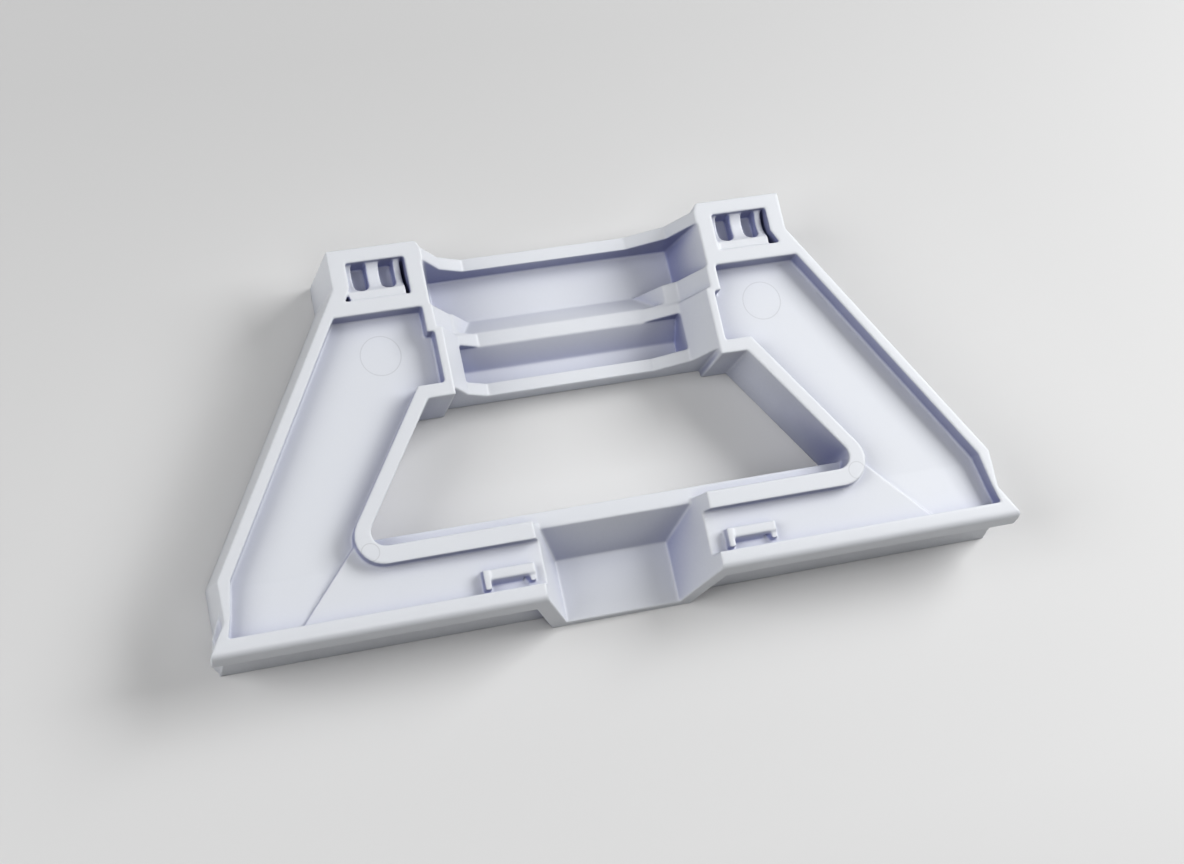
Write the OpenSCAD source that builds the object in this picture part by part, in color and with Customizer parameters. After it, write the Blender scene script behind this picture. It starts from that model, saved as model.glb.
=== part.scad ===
/* [Overall] */
// full width over the two ear tips of the front lip
overall_w = 246; // [225:1:270]
// full depth, front of the finger trough to back of the hinge blocks
overall_d = 117.6; // [112:0.2:128]
// height of the flat top plane above the table
overall_h = 25; // [22:0.5:30]
// thickness of every plain wall
wall_t = 2.6; // [2:0.1:3.2]

/* [Legs] */
// half width over the hinge blocks at the top plane
block_half = 70.8; // [66:0.2:76]
// half width of the foot just above the ears, at the top plane
foot_half = 117.9; // [108:0.1:122]
// distance from the front to the knee where leg turns into foot
knee_y = 26.3; // [24:0.1:30]
// length of each hinge block's side, from its back to the corner where it turns into leg
shoulder_l = 12; // [10.6:0.2:14.6]
// outward lean of the outer leg walls, degrees from upright
leg_draft = 7; // [2:0.5:10]
// width of the flat rim along the outer leg edge
leg_rim = 3.2; // [2.6:0.1:4.5]
// depth of the leg pockets below the top plane
pocket_deep = 5.8; // [4:0.1:8]

/* [Opening] */
// half width of the trapezoid opening at its back edge
open_back_half = 49.4; // [47:0.2:52]
// distance from the front to the back edge of the opening
open_back_y = 69; // [66:0.2:70]
// distance from the front to the front edge of the opening
open_front_y = 28.3; // [27.6:0.1:31]
// sideways run of the opening flank for each mm of depth
flank_run = 0.67; // [0.62:0.01:0.7]
// corner radius of the opening
open_r = 4; // [2:0.2:6]
// width of the flat rim along the flanks of the opening
open_rim = 4.2; // [3:0.1:5]
// drop from the top plane to the ledge along the front of the opening
ledge_drop = 7.6; // [6:0.2:9]
// width of that ledge behind the rim
ledge_w = 3.6; // [2.6:0.1:5]

/* [Base bar] */
// depth of the base floor below the top plane
base_deep = 3.9; // [2.5:0.1:5]
// distance from the front to the back edge of the lip top
lip_back_y = 9.8; // [9.4:0.1:11]
// height of the front lip
lip_h = 7; // [5:0.2:9]
// forward lean of the front faces, degrees from upright
front_draft = 11; // [6:0.5:13]
// set-back of the lower front wall behind the lip
lip_proud = 3.4; // [2:0.1:4]
// radius of the rounded front edge of the lip
lip_r = 2.4; // [1:0.1:3]

/* [Finger trough] */
// half width of the trough floor
trough_half = 17.6; // [14:0.2:20]
// sideways lean of the trough flanks, degrees from upright
trough_lean = 22; // [10:1:26]
// distance from the front to the back wall of the trough at the floor
trough_y = 19.3; // [17:0.1:21]
// rearward run of that wall up to the ledge
trough_run = 7.7; // [6.6:0.1:8]

/* [Crossbar] */
// height of the lowered stretch of the three crossbar rims
bar_h = 8.4; // [7:0.1:11]
// thickness of the trough floors
bar_floor = 1.6; // [1.2:0.1:2.6]
// half length of the lowered stretch
bar_low_half = 26; // [22:0.5:29]
// sideways shift of the lowered stretch
bar_shift = -2; // [-3:0.2:3]
// half length of the front trough
bar_step_half = 35; // [33.5:0.1:36.5]
// height at which the rims reach the end faces
bar_step_h = 13.6; // [13:0.2:17]
// step from the opening back to the front face
bar_set = 2.2; // [1.6:0.1:3]
// width of the front and back rims
bar_rim = 4.1; // [3:0.1:5]
// width of the front trough at its top
bar_front_room = 11.6; // [10:0.1:12.4]
// width of the middle rim
bar_mid_rim = 4.4; // [3.4:0.1:5]
// run of each slanted face of the middle rim, down to the trough floors
bar_lean = 5.8; // [4:0.1:6.2]
// set-back of the back rim behind the hinge blocks
bar_back_set = 2.3; // [1:0.1:4]
// half length of the floor of the back trough
bar_floor_half = 38.6; // [36:0.2:40]

/* [Hinge saddles] */
// length of each window along the hinge line
window_l = 17.6; // [16:0.2:18.4]
// width of each window across the hinge line
window_w = 11.6; // [10.6:0.2:12.4]
// width of each of the two slots in a saddle
slot_w = 4.4; // [3:0.1:4.8]
// radius of the hollow that shapes a saddle
saddle_r = 6; // [5.4:0.1:6.8]
// height of a saddle
saddle_h = 9; // [7:0.5:11]
// gap beside a saddle
saddle_gap = 1.2; // [0.6:0.1:1.6]
// gap before and behind a saddle
saddle_slit = 0.5; // [0.4:0.1:0.9]

/* [Small features] */
// length of each cord hook on the base bar
hook_l = 15.4; // [12:0.2:18]
// depth of each cord hook
hook_w = 5.8; // [5:0.1:6.4]
// height of each cord hook above the base floor
hook_h = 3; // [2.4:0.1:3.4]
// depth of the ejector pin rings
pin_deep = 0.15; // [0.1:0.05:0.4]
// diameter of the large ejector pin marks
pin_big_d = 12; // [8:0.5:14]
// diameter of the small ejector pin marks
pin_small_d = 5.2; // [4:0.1:6]

/* [Hidden] */
$fn = 48;
arc_n = 10;
eps = 0.01;
lip_half = overall_w / 2;
lip_z = overall_h - lip_h;
front_run = tan(front_draft);
block_y = overall_d;
shoulder_y = block_y - shoulder_l;
leg_az = atan2(knee_y - shoulder_y, foot_half - block_half);
leg_run = (foot_half - block_half) / (shoulder_y - knee_y);
pocket_z = overall_h - pocket_deep;
base_z = overall_h - base_deep;
draft_side = 5;
ear_y = 14.5;
rim_foot_y = 23;
bend_y = 24.5;
bend_rise = 1;
crease_y = open_front_y + 6.6;
crease_out = foot_half - 21.3;
floor_z = wall_t;
ledge_y = open_front_y + ledge_w;
ledge_z = overall_h - ledge_drop;
bar_front_y = open_back_y + bar_set;
bar_front_in = bar_front_y + bar_rim;
bar_mid_y = bar_front_in + bar_front_room;
bar_mid_back = bar_mid_y + bar_mid_rim;
bar_back_y = block_y - bar_back_set;
bar_back_in = bar_back_y - bar_rim;
jog_y = bar_mid_y + 3.3;
inner_back = 43.2;
inner_front = 41;
pocket_back_y = block_y - 20.6;
pocket_front_y = open_back_y + 4.6;
inner_rim = 2.6;
block_corner = 2;
window_y = block_y - 16.1;
window_x = block_half - 22.6;
window_flare = 2;
post_w = 1.9;
hook_x = trough_half + 12.7;
hook_y = lip_back_y + 0.9;
pin_big = [block_half - 11.1, block_y - 32.2];
pin_small = [open_back_half + (open_back_y - open_front_y) * flank_run - 2.3, open_front_y - 1.3];

function flank_x(y, off) = open_back_half + (open_back_y - y) * flank_run
    + off * sqrt(1 + flank_run * flank_run);
function leg_x(y, off) = block_half + (shoulder_y - y) * leg_run
    - off * sqrt(1 + leg_run * leg_run);

// both mirrored halves of a child drawn on the right
module pair() {
    children();
    mirror([1, 0, 0]) children();
}

// upright prism between two heights
module slab(points, z0, z1) {
    translate([0, 0, z0]) linear_extrude(z1 - z0) polygon(points);
}

// prism of a Y-Z outline, centred along X
module rail(points, length) {
    translate([-length / 2, 0, 0]) rotate([90, 0, 90]) linear_extrude(length) polygon(points);
}

// prism of an X-Z outline from y0 to y1
module loaf(points, y0, y1) {
    translate([0, y1, 0]) rotate([90, 0, 0]) linear_extrude(y1 - y0) polygon(points);
}

// everything outside a leaning wall that meets the top plane at point p
module outside(p, az, lean, inset) {
    translate([p[0], p[1], overall_h]) rotate([0, 0, az]) rotate([lean, 0, 0])
        translate([-200, -inset, -90]) cube([400, 90, 140]);
}

// front faces, set back from the foremost plane by a distance
module ahead(back, inset) {
    outside([0, back + front_run * overall_h], 180, front_draft, inset);
}

// leg, foot and half of the base bar, inset from every outer wall
module leg_mass(inset, z0, z1) {
    difference() {
        slab([[-eps, 0], [foot_half + 8, 0], [foot_half + 8, knee_y],
            [block_half + 6, shoulder_y], [block_half + 6, shoulder_y + 2],
            [inner_back + inset, shoulder_y + 2], [inner_back + inset, jog_y],
            [inner_front + inset, jog_y], [inner_front + inset, open_back_y - 0.4 + inset],
            [-eps, open_back_y - 0.4 + inset]], z0, z1);
        outside([block_half, shoulder_y], leg_az, leg_draft, inset);
        outside([foot_half, ear_y], -90, draft_side, inset);
        ahead(lip_proud, inset);
    }
}

// hinge block with leaning outer side and back, its inner back corner rounded
module block_mass(inset, z0, z1) {
    x0 = inner_back + inset;
    difference() {
        translate([0, 0, z0]) linear_extrude(z1 - z0) polygon(concat(
            [[block_half + 6, block_y + 1], [block_half + 6, shoulder_y], [leg_x(pocket_back_y, wall_t * 2),
            pocket_back_y - 6], [x0, pocket_back_y - 6]],
            arc([x0 + block_corner, block_y - block_corner], block_corner, 180, 90),
            [[x0 + block_corner, block_y + 1]]));
        outside([block_half, 0], -90, leg_draft, inset);
        outside([0, block_y], 0, -draft_side, inset);
    }
}

// front lip running out into pointed ears
module lip() {
    difference() {
        slab([[-lip_half, 0], [lip_half, 0], [lip_half, ear_y - 8.6], [foot_half, ear_y],
            [-foot_half, ear_y], [-lip_half, ear_y - 8.6]], lip_z, overall_h);
        ahead(0, 0);
        lip_edge();
    }
}

// waste outside the rounded front edge of the lip
module lip_edge() {
    r = lip_r;
    c = front_run * (overall_h - r) + r / cos(front_draft);
    difference() {
        rail([[-1, overall_h + 1], [-1, overall_h - r], [c, overall_h - r], [c, overall_h + 1]],
            overall_w + 20);
        translate([-overall_w, c, overall_h - r]) rotate([0, 90, 0]) cylinder(r = r, h = overall_w * 2);
    }
}

// half width of the trough housing at a height
function trough_x(z, off) = trough_half + (z - floor_z) * tan(trough_lean) + off / cos(trough_lean);

// housing that carries the lip down around the trough
module trough_mass() {
    t = lip_proud + 1.6;
    difference() {
        loaf([[-trough_x(0, t), 0], [trough_x(0, t), 0], [trough_x(overall_h, t), overall_h],
            [-trough_x(overall_h, t), overall_h]], 0, lip_back_y + 2);
        ahead(0, 0);
        lip_edge();
    }
}

// room inside the trough, open to the front and the top
module trough_room() {
    intersection() {
        loaf([[-trough_x(floor_z, 0), floor_z], [trough_x(floor_z, 0), floor_z],
            [trough_x(overall_h + 1, 0), overall_h + 1], [-trough_x(overall_h + 1, 0), overall_h + 1]],
            -1, ledge_y + 1);
        rail([[-1, floor_z], [trough_y, floor_z], [trough_y + trough_run, ledge_z], [ledge_y + 2, ledge_z],
            [ledge_y + 2, overall_h + 1], [-1, overall_h + 1]], trough_half * 4);
    }
}

// points of an arc about c from angle a0 to a1
function arc(c, r, a0, a1) = [for (i = [0:arc_n]) let (a = a0 + (a1 - a0) * i / arc_n)
    [c[0] + r * cos(a), c[1] + r * sin(a)]];

// plan of the opening; off widens it by the rim
module opening_plan(off) {
    front = open_front_y - (off > 0 ? open_front_y - rim_foot_y : 0);
    back = open_back_y + off;
    r = open_r + off;
    t = r / tan(atan(1 / flank_run) / 2);
    c = [flank_x(front, off) - t, front + r];
    a = atan(flank_run);
    polygon(concat([[-flank_x(back, off), back], [flank_x(back, off), back]], arc(c, r, a, -90),
        arc([-c[0], c[1]], r, -90, -180 - a)));
}

// through opening with a ledge along its front
module opening() {
    difference() {
        translate([0, 0, -1]) linear_extrude(overall_h + 2) opening_plan(0);
        rail([[open_front_y - open_r, -2], [ledge_y, -2], [ledge_y, ledge_z], [open_front_y - open_r, ledge_z]],
            overall_w);
    }
}

// recess of one leg between its rims
module leg_pocket() {
    y0 = lip_back_y;
    difference() {
        slab([[inner_back + inner_rim, pocket_back_y], [leg_x(pocket_back_y, leg_rim), pocket_back_y],
            [leg_x(knee_y, leg_rim), knee_y - 0.4], [foot_half - 1.9, ear_y + 1],
            [foot_half - 0.5, y0], [open_back_half + 10, y0], [open_back_half + 10, pocket_front_y - 20],
            [inner_front + inner_rim, pocket_front_y], [inner_front + inner_rim, jog_y - 1.2],
            [inner_back + inner_rim, jog_y - 1.2]], pocket_z, overall_h + 1);
        translate([0, 0, -1]) linear_extrude(overall_h + 3) opening_plan(open_rim);
        slab([[0, 0], [crease_out, y0 - 1], [crease_out, y0], [flank_x(crease_y, 1.4), crease_y],
            [open_back_half, crease_y]], 0, overall_h + 2);
        rail([[y0 - 1, 0], [bend_y, 0], [bend_y, pocket_z], [y0 - 1, pocket_z + bend_rise]], overall_w);
    }
}

// shallow recess of the base bar between rim and lip
module base_pocket() {
    y0 = lip_back_y;
    difference() {
        slab([[-crease_out, y0], [crease_out, y0], [flank_x(crease_y, 1.4), crease_y],
            [-flank_x(crease_y, 1.4), crease_y]], base_z, overall_h + 1);
        translate([0, 0, -1]) linear_extrude(overall_h + 3) opening_plan(open_rim);
    }
}

// X-Z outline of a rim: a lowered stretch that climbs to the legs past two points a side
function rim_outline(low, rise, low_z, step) = [[-inner_back - 1, 0], [inner_back + 1, 0],
    [inner_back + 1, overall_h], [rise, overall_h], [step, bar_step_h], [bar_shift + low, low_z],
    [bar_shift - low, low_z], [-step, bar_step_h], [-rise, overall_h], [-inner_back - 1, overall_h]];

// Y-Z outline of the middle rim, widened by off on both faces
function ridge(off) = [[bar_mid_y - bar_lean - off, bar_floor], [bar_mid_y - off, bar_h],
    [bar_mid_back + off, bar_h], [bar_mid_back + bar_lean + off, bar_floor]];

// crossbar: three rims that ramp up to the legs around two troughs
module crossbar() {
    top = overall_h + 1;
    difference() {
        union() {
            loaf(rim_outline(bar_low_half, inner_front + 0.2, bar_h, bar_step_half), bar_front_y, jog_y);
            loaf(rim_outline(bar_low_half, inner_back - 0.4, bar_h, bar_step_half + 1), jog_y - 1, bar_back_y);
        }
        rail([[bar_front_in, bar_floor], [bar_mid_y - bar_lean, bar_floor], [bar_mid_y, bar_h],
            [bar_mid_y, top], [bar_front_in, top]], bar_step_half * 2);
        intersection() {
            rail([[bar_mid_back, top], [bar_mid_back, bar_h], [bar_mid_back + bar_lean, bar_floor],
                [bar_back_in, bar_floor], [bar_back_in, top]], inner_back * 2 + 4);
            union() {
                loaf([[-bar_floor_half, bar_floor], [bar_floor_half, bar_floor], [inner_back + 0.2, top],
                    [-inner_back - 0.2, top]], bar_mid_back + bar_lean, bar_back_in);
                loaf([[bar_shift - bar_low_half, bar_floor], [bar_shift + bar_low_half, bar_floor],
                    [inner_back - 0.4, top], [-inner_back + 0.4, top]], bar_mid_back, bar_back_in);
            }
        }
        rail([[ridge(0)[0][0] + bar_floor * 2, -1], [bar_mid_y + bar_floor / 2, bar_h - bar_floor],
            [bar_mid_back - bar_floor / 2, bar_h - bar_floor], [ridge(0)[3][0] - bar_floor * 2, -1]],
            bar_low_half * 2 - 6);
    }
}

// window cut through the top of a hinge block, its outer front corner flared
module window() {
    slab([[0, 0], [window_l + window_flare, 0], [window_l, window_w * 0.36], [window_l, window_w],
        [0, window_w]], wall_t, overall_h + 1);
}

// comb plate hollowed along the hinge line, held at its left end
module saddle() {
    w = window_l - saddle_gap;
    front = window_w * 0.25;
    top = overall_h - saddle_slit;
    difference() {
        translate([-0.4, saddle_slit, top - saddle_h]) cube([w + 0.4, window_w - 2 * saddle_slit, saddle_h]);
        translate([-1, window_w * 0.65, overall_h + saddle_r / 2]) rotate([0, 90, 0])
            cylinder(r = saddle_r, h = w + 2);
        for (x = [w * 0.24, w * 0.74]) translate([x, front + slot_w / 2, top - saddle_h * 0.7]) {
            translate([-slot_w / 2, 0, 0]) cube([slot_w, window_w, saddle_h]);
            cylinder(d = slot_w, h = saddle_h);
        }
    }
}

// cord hook: a wall with a leaning front between a post and a small foot
module hook() {
    translate([0, 0, base_z - 0.4]) {
        cube([post_w, hook_w, hook_h + 0.7]);
        difference() {
            rail([[hook_w * 0.2, 0], [hook_w, 0], [hook_w, hook_h + 0.4], [hook_w * 0.5, hook_h + 0.4]],
                hook_l * 2);
            translate([-hook_l, -1, -1]) cube([hook_l, hook_w + 2, hook_h + 3]);
            translate([hook_l, -1, -1]) cube([hook_l, hook_w + 2, hook_h + 3]);
            translate([hook_l - post_w * 2, 0, 0.4]) cube([post_w * 0.7, hook_w * 0.55, hook_h * 0.4]);
        }
        translate([hook_l - post_w, hook_w * 0.1, 0]) cube([post_w, hook_w * 0.6, hook_h - 0.2]);
    }
}

// thin ring left by an ejector pin
module pin_ring(p, z, d) {
    translate([p[0], p[1], z - pin_deep]) difference() {
        cylinder(d = d, h = 2);
        translate([0, 0, -1]) cylinder(d = d - 0.5, h = 4);
    }
}

// hollow underside of the legs, the base bar and the blocks
module underside() {
    difference() {
        leg_mass(wall_t, -1, pocket_z - wall_t);
        linear_extrude(overall_h) opening_plan(wall_t);
        rail([[0, -2], [ledge_y + 1, -2], [ledge_y + 1, overall_h], [0, overall_h]],
            trough_x(overall_h, wall_t) * 2);
        for (y = [open_front_y, open_back_y] + [17.7, 3]) translate([0, y, 0])
            cube([foot_half, wall_t * 0.7, overall_h]);
        translate([0, bar_front_y - 1, 0]) cube([inner_front + wall_t, jog_y - bar_front_y + 1, overall_h]);
    }
    translate([trough_x(overall_h, wall_t), rim_foot_y - 1, -1])
        cube([flank_x(open_front_y, -open_r * 2) - trough_x(overall_h, wall_t),
            ledge_y - wall_t - rim_foot_y + 1, ledge_z - wall_t + 1]);
    block_mass(wall_t, -1, overall_h - saddle_h * 1.45);
}

// hollow below the back wall of the finger trough
module trough_hollow() {
    lean = trough_run / (ledge_z - floor_z);
    skin = wall_t * sqrt(1 + lean * lean);
    rail([[trough_y - (floor_z + 1) * lean + skin, -1], [ledge_y - wall_t, -1],
        [ledge_y - wall_t, ledge_z - wall_t], [trough_y + trough_run - wall_t * lean + skin, ledge_z - wall_t]],
        trough_half * 2);
}

module kickstand() {
    color("#e9ebf2") translate([0, -overall_d / 2, 0]) difference() {
        union() {
            difference() {
                union() {
                    pair() leg_mass(0, 0, overall_h);
                    pair() block_mass(0, 0, overall_h);
                    lip();
                    trough_mass();
                    crossbar();
                }
                opening();
                trough_room();
                pair() leg_pocket();
                base_pocket();
                translate([window_x, window_y, 0]) window();
                mirror([1, 0, 0]) translate([window_x, window_y, 0]) window();
                pair() underside();
                trough_hollow();
            }
            translate([window_x, window_y, 0]) saddle();
            translate([-window_x - window_l, window_y, 0]) saddle();
            translate([hook_x, hook_y, 0]) hook();
            translate([post_w - hook_x - hook_l, hook_y, 0]) hook();
        }
        pair() {
            pin_ring(pin_big, pocket_z, pin_big_d);
            pin_ring(pin_small, overall_h, pin_small_d);
        }
    }
}

kickstand();
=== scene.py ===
import math

import bmesh
import bpy
from mathutils import Matrix, Vector


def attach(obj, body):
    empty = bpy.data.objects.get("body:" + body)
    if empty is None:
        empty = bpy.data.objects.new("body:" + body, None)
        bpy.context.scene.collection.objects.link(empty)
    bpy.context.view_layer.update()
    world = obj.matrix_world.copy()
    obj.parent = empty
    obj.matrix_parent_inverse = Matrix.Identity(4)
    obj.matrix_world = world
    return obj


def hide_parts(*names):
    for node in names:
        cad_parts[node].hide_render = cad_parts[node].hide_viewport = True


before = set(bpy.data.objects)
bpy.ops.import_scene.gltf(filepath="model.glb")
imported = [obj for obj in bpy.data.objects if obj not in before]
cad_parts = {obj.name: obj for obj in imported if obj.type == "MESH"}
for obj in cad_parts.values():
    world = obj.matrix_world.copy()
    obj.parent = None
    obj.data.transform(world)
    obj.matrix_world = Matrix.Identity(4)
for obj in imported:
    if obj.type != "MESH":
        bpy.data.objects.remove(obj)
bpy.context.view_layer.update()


def link(obj):
    bpy.context.scene.collection.objects.link(obj)
    return obj


# The strip under the lip runs out into a rounded toe below each pointed ear
toe = {"halfWidth": 0.1216, "innerX": 0.112, "returnX": 0.1182, "frontY": -0.0553, "frontSlope": 0.1944,
       "radius": 0.004, "depth": 0.012, "height": 0.0188, "steps": 8}

# The moulding is remeshed finely and eased, so that its corners and edges come out rounded
moulding = {"mergeDist": 0.00001, "voxel": 0.00035, "easing": 0.5, "rounds": 5, "kept": 0.1, "faceWeight": 80}


def toeOutline(side, z):
    y0 = toe["frontY"] + toe["frontSlope"] * z
    r = toe["radius"]
    points = [(toe["innerX"], y0)]
    for i in range(toe["steps"] + 1):
        turn = math.pi / 2 * i / toe["steps"]
        points.append((toe["halfWidth"] - r + r * math.sin(turn), y0 + r - r * math.cos(turn)))
    points.append((toe["returnX"], y0 + toe["depth"]))
    points.append((toe["innerX"], y0 + toe["depth"]))
    return [(side * x, y, z) for x, y in points]


def addToe(bm, side):
    low = [bm.verts.new(p) for p in toeOutline(side, 0.0)]
    high = [bm.verts.new(p) for p in toeOutline(side, toe["height"])]
    faces = [bm.faces.new(low), bm.faces.new(high)]
    count = len(low)
    for i in range(count):
        faces.append(bm.faces.new((low[i], low[(i + 1) % count], high[(i + 1) % count], high[i])))
    bmesh.ops.recalc_face_normals(bm, faces=faces)


def roundedShell(name, node):
    mesh = node.data.copy()
    mesh.name = name
    bm = bmesh.new()
    bm.from_mesh(mesh)
    bmesh.ops.remove_doubles(bm, verts=bm.verts, dist=moulding["mergeDist"])
    for side in (-1, 1):
        addToe(bm, side)
    bm.to_mesh(mesh)
    bm.free()
    obj = link(bpy.data.objects.new(name, mesh))
    grid = obj.modifiers.new("grid", "REMESH")
    grid.mode = "VOXEL"
    grid.voxel_size = moulding["voxel"]
    grid.use_smooth_shade = True
    ease = obj.modifiers.new("ease", "SMOOTH")
    ease.factor = moulding["easing"]
    ease.iterations = moulding["rounds"]
    thin = obj.modifiers.new("thin", "DECIMATE")
    thin.ratio = moulding["kept"]
    shade = obj.modifiers.new("shade", "WEIGHTED_NORMAL")
    shade.keep_sharp = False
    shade.weight = moulding["faceWeight"]
    depsgraph = bpy.context.evaluated_depsgraph_get()
    finished = bpy.data.meshes.new_from_object(obj.evaluated_get(depsgraph))
    obj.modifiers.clear()
    obj.data = finished
    return obj


print("moulding")
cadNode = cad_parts["kickstand"]
shell = roundedShell("frameMoulding", cadNode)
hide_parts("kickstand")
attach(shell, "root")
print("faces", len(shell.data.polygons))


# Satin white plastic with painted shade: darker and bluer in its recesses, most on walls turned away from the
# main lamp, and on its outer walls close to the table
plastic = {"open": (0.69, 0.71, 0.748), "paintedShade": (0.07, 0.09, 0.33), "paintedShadeMost": 0.74, "fall": 0.95,
           "reach": 0.04, "shutBelow": 0.15, "openAbove": 0.95, "samples": 8,
           "litFrom": (0.79, 0.27, 0.54), "unlitBelow": -0.3, "litAbove": 0.5, "litShare": 0.4,
           "low": (0.22, 0.24, 0.33), "lowReach": 0.022, "lowBelow": 0.2, "lowAbove": 0.75,
           "wallBelow": 0.1, "wallAbove": 0.5,
           "mottle": 0.985, "mottleScale": 26, "mottleDetail": 3,
           "rough": 0.4, "ior": 1.46, "grain": 0.05, "grainScale": 900, "grainDetail": 2, "grainDepth": 0.0002}

# Rings left by the ejector pins, drawn as thin lines of painted shade where their shallow grooves would darken
pin = {"big": (0.0597, 0.0266, 0.0192), "bigRadius": 0.006, "small": (0.0744, -0.0318, 0.025),
       "smallRadius": 0.0026, "line": 0.00016, "shade": (0.86, 0.86, 0.86)}


def spread(nodes, links, source, fromMin, fromMax, toMin, toMax):
    ramp = nodes.new("ShaderNodeMapRange")
    for socket, value in zip(("From Min", "From Max", "To Min", "To Max"), (fromMin, fromMax, toMin, toMax)):
        ramp.inputs[socket].default_value = value
    links.new(source, ramp.inputs["Value"])
    return ramp.outputs["Result"]


def reckon(nodes, links, operation, first, second):
    step = nodes.new("ShaderNodeMath")
    step.operation = operation
    for i, value in enumerate((first, second)):
        if isinstance(value, (int, float)):
            step.inputs[i].default_value = value
        else:
            links.new(value, step.inputs[i])
    return step.outputs[0]


def blend(nodes, links, kind, factor, under, over):
    mix = nodes.new("ShaderNodeMixRGB")
    mix.blend_type = kind
    for socket, value in zip(("Fac", "Color1", "Color2"), (factor, under, over)):
        if isinstance(value, tuple):
            mix.inputs[socket].default_value = (*value, 1)
        elif isinstance(value, (int, float)):
            mix.inputs[socket].default_value = value
        else:
            links.new(value, mix.inputs[socket])
    return mix.outputs["Color"]


def openness(nodes, samples, reach, ownOnly):
    hollow = nodes.new("ShaderNodeAmbientOcclusion")
    hollow.samples = samples
    hollow.only_local = ownOnly
    hollow.inputs["Distance"].default_value = reach
    return hollow.outputs["AO"]


# 1 on a thin circle about the middle, 0 elsewhere
def ringMark(nodes, links, place, middle, radius):
    away = nodes.new("ShaderNodeVectorMath")
    away.operation = "DISTANCE"
    away.inputs[1].default_value = middle
    links.new(place, away.inputs[0])
    ring = nodes.new("ShaderNodeMath")
    ring.operation = "COMPARE"
    ring.inputs[1].default_value = radius
    ring.inputs[2].default_value = pin["line"]
    links.new(away.outputs["Value"], ring.inputs[0])
    return ring.outputs[0]


def pinMarks(nodes, links, place):
    marks = 0.0
    for middle, radius in ((pin["big"], pin["bigRadius"]), (pin["small"], pin["smallRadius"])):
        for side in (-1, 1):
            ring = ringMark(nodes, links, place, (side * middle[0], middle[1], middle[2]), radius)
            marks = reckon(nodes, links, "MAXIMUM", ring, marks)
    return marks


def satinPlastic(name, settings):
    mat = bpy.data.materials.new(name)
    mat.use_nodes = True
    nodes, links = mat.node_tree.nodes, mat.node_tree.links
    shader = nodes["Principled BSDF"]
    coords = nodes.new("ShaderNodeTexCoord")
    place, facing = coords.outputs["Object"], coords.outputs["Normal"]

    # painted shade in recesses, most of all on walls turned away from the main lamp
    openPart = spread(nodes, links, openness(nodes, settings["samples"], settings["reach"], True),
                      settings["shutBelow"], settings["openAbove"], 0, 1)
    shut = reckon(nodes, links, "POWER", reckon(nodes, links, "SUBTRACT", 1.0, openPart), settings["fall"])
    turned = nodes.new("ShaderNodeVectorMath")
    turned.operation = "DOT_PRODUCT"
    turned.inputs[1].default_value = settings["litFrom"]
    links.new(facing, turned.inputs[0])
    unlit = spread(nodes, links, turned.outputs["Value"],
                   settings["unlitBelow"], settings["litAbove"], 1, settings["litShare"])
    shaded = reckon(nodes, links, "MULTIPLY", shut, unlit)
    shaded = reckon(nodes, links, "MINIMUM", shaded, settings["paintedShadeMost"])
    tone = blend(nodes, links, "MIX", shaded, settings["open"], settings["paintedShade"])

    # faint cloudiness of the plastic
    cloud = nodes.new("ShaderNodeTexNoise")
    cloud.inputs["Scale"].default_value = settings["mottleScale"]
    cloud.inputs["Detail"].default_value = settings["mottleDetail"]
    links.new(place, cloud.inputs["Vector"])
    mottle = spread(nodes, links, cloud.outputs["Fac"], 0, 1, settings["mottle"], 1)
    tone = blend(nodes, links, "MULTIPLY", 1.0, tone, mottle)

    # painted shade on outer walls close to the table
    axes = nodes.new("ShaderNodeSeparateXYZ")
    links.new(facing, axes.inputs["Vector"])
    upright = spread(nodes, links, axes.outputs["Z"], settings["wallBelow"], settings["wallAbove"], 1, 0)
    outer = reckon(nodes, links, "MULTIPLY", upright, openPart)
    near = spread(nodes, links, openness(nodes, settings["samples"], settings["lowReach"], False),
                  settings["lowBelow"], settings["lowAbove"], 1, 0)
    tone = blend(nodes, links, "MULTIPLY", reckon(nodes, links, "MULTIPLY", near, outer),
                 tone, settings["low"])

    # painted shade along the ejector-pin rings
    tone = blend(nodes, links, "MULTIPLY", pinMarks(nodes, links, place), tone, pin["shade"])
    links.new(tone, shader.inputs["Base Color"])

    grain = nodes.new("ShaderNodeTexNoise")
    grain.inputs["Scale"].default_value = settings["grainScale"]
    grain.inputs["Detail"].default_value = settings["grainDetail"]
    links.new(place, grain.inputs["Vector"])
    bump = nodes.new("ShaderNodeBump")
    bump.inputs["Strength"].default_value = settings["grain"]
    bump.inputs["Distance"].default_value = settings["grainDepth"]
    links.new(grain.outputs["Fac"], bump.inputs["Height"])
    links.new(bump.outputs["Normal"], shader.inputs["Normal"])
    shader.inputs["Roughness"].default_value = settings["rough"]
    shader.inputs["IOR"].default_value = settings["ior"]
    return mat


print("plastic")
white = satinPlastic("satinWhitePaintedShade", plastic)
shell.data.materials.clear()
shell.data.materials.append(white)
for slot in cadNode.material_slots:
    slot.material = white


# Pale table with painted light: its colour is lighter in front and darker behind, and it fades into the room
# far from the object
table = {"half": 3.0, "paintedLightFront": 0.72, "paintedShadeBack": 0.57, "fade": 0.13, "rough": 0.8, "gloss": 0.2,
         "haze": (0.66, 0.66, 0.66), "hazeStart": 0.42, "hazeEnd": 0.85}


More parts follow.
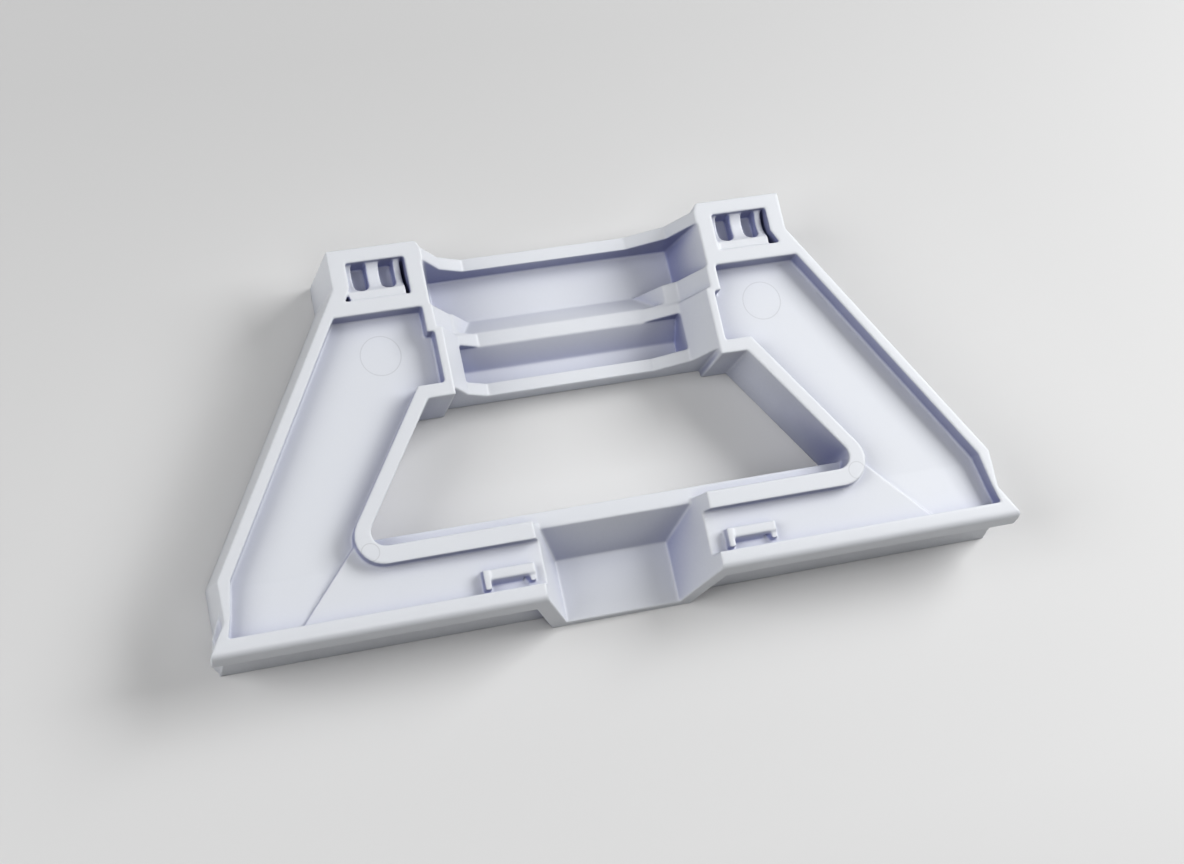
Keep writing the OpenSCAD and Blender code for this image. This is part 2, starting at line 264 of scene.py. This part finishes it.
def tableMaterial(name, settings):
    mat = bpy.data.materials.new(name)
    mat.use_nodes = True
    nodes, links = mat.node_tree.nodes, mat.node_tree.links
    shader = nodes["Principled BSDF"]
    coords = nodes.new("ShaderNodeTexCoord")
    axes = nodes.new("ShaderNodeSeparateXYZ")
    links.new(coords.outputs["Object"], axes.inputs["Vector"])
    # painted light: the table colour goes from lighter in front to darker behind
    tint = spread(nodes, links, axes.outputs["Y"], -settings["fade"], settings["fade"],
                  settings["paintedLightFront"], settings["paintedShadeBack"])
    links.new(tint, shader.inputs["Base Color"])
    shader.inputs["Roughness"].default_value = settings["rough"]
    shader.inputs["Specular IOR Level"].default_value = settings["gloss"]

    # the far table shows the colour of the room
    away = nodes.new("ShaderNodeVectorMath")
    away.operation = "LENGTH"
    links.new(coords.outputs["Object"], away.inputs[0])
    far = spread(nodes, links, away.outputs["Value"], settings["hazeStart"], settings["hazeEnd"], 0, 1)
    path = nodes.new("ShaderNodeLightPath")
    haze = nodes.new("ShaderNodeEmission")
    haze.inputs["Color"].default_value = (*settings["haze"], 1)
    mix = nodes.new("ShaderNodeMixShader")
    links.new(reckon(nodes, links, "MULTIPLY", far, path.outputs["Is Camera Ray"]), mix.inputs["Fac"])
    links.new(shader.outputs["BSDF"], mix.inputs[1])
    links.new(haze.outputs["Emission"], mix.inputs[2])
    links.new(mix.outputs["Shader"], nodes["Material Output"].inputs["Surface"])
    return mat


print("table")
h = table["half"]
floorMesh = bpy.data.meshes.new("table")
floorMesh.from_pydata([(-h, -h, 0), (h, -h, 0), (h, h, 0), (-h, h, 0)], [], [(0, 1, 2, 3)])
floorMesh.materials.append(tableMaterial("paleTablePaintedLight", table))
floor = link(bpy.data.objects.new("table", floorMesh))


# Three soft panels: the main one low on the right, two fills
panels = {"keyPanel": {"place": (0.72, 0.25, 0.60), "size": (0.6, 0.45), "power": 9.5},
          "topPanel": {"place": (0.0, -0.32, 1.1), "size": (0.7, 0.7), "power": 2.7},
          "leftPanel": {"place": (-0.80, 0.10, 0.66), "size": (0.6, 0.6), "power": 5.8}}


def softPanel(name, place, size, power):
    lamp = bpy.data.lights.new(name, "AREA")
    lamp.shape = "RECTANGLE"
    lamp.size, lamp.size_y = size
    lamp.energy = power
    obj = link(bpy.data.objects.new(name, lamp))
    obj.location = place
    obj.rotation_mode = "QUATERNION"
    obj.rotation_quaternion = (-Vector(place)).to_track_quat("-Z", "Y")
    return obj


# the room itself gives no light and is only seen behind the table
def plainRoom(name, tint):
    world = bpy.data.worlds.new(name)
    bpy.context.scene.world = world
    world.use_nodes = True
    nodes, links = world.node_tree.nodes, world.node_tree.links
    back = nodes["Background"]
    back.inputs["Color"].default_value = (*tint, 1)
    path = nodes.new("ShaderNodeLightPath")
    links.new(path.outputs["Is Camera Ray"], back.inputs["Strength"])


print("light")
for name, settings in panels.items():
    softPanel(name, **settings)
plainRoom("room", table["haze"])


# The photograph's own view
view = {"sensor": 36.0, "lens": 62.722, "near": 0.01, "far": 50.0, "place": (-0.155571, -0.141288, 0.596057),
        "right": (0.956, -0.209588, 0.205274), "up": (0.152161, 0.952485, 0.263856),
        "back": (-0.250821, -0.221012, 0.942466)}
print("camera")
lens = bpy.data.cameras.new("camera")
lens.sensor_fit = "HORIZONTAL"
lens.sensor_width = view["sensor"]
lens.lens = view["lens"]
lens.clip_start = view["near"]
lens.clip_end = view["far"]
eye = link(bpy.data.objects.new("camera", lens))
axes = [(*view[name], 0) for name in ("right", "up", "back")]
eye.matrix_world = Matrix(axes + [(*view["place"], 1)]).transposed()
bpy.context.scene.camera = eye
bpy.context.scene.view_settings.view_transform = "Standard"
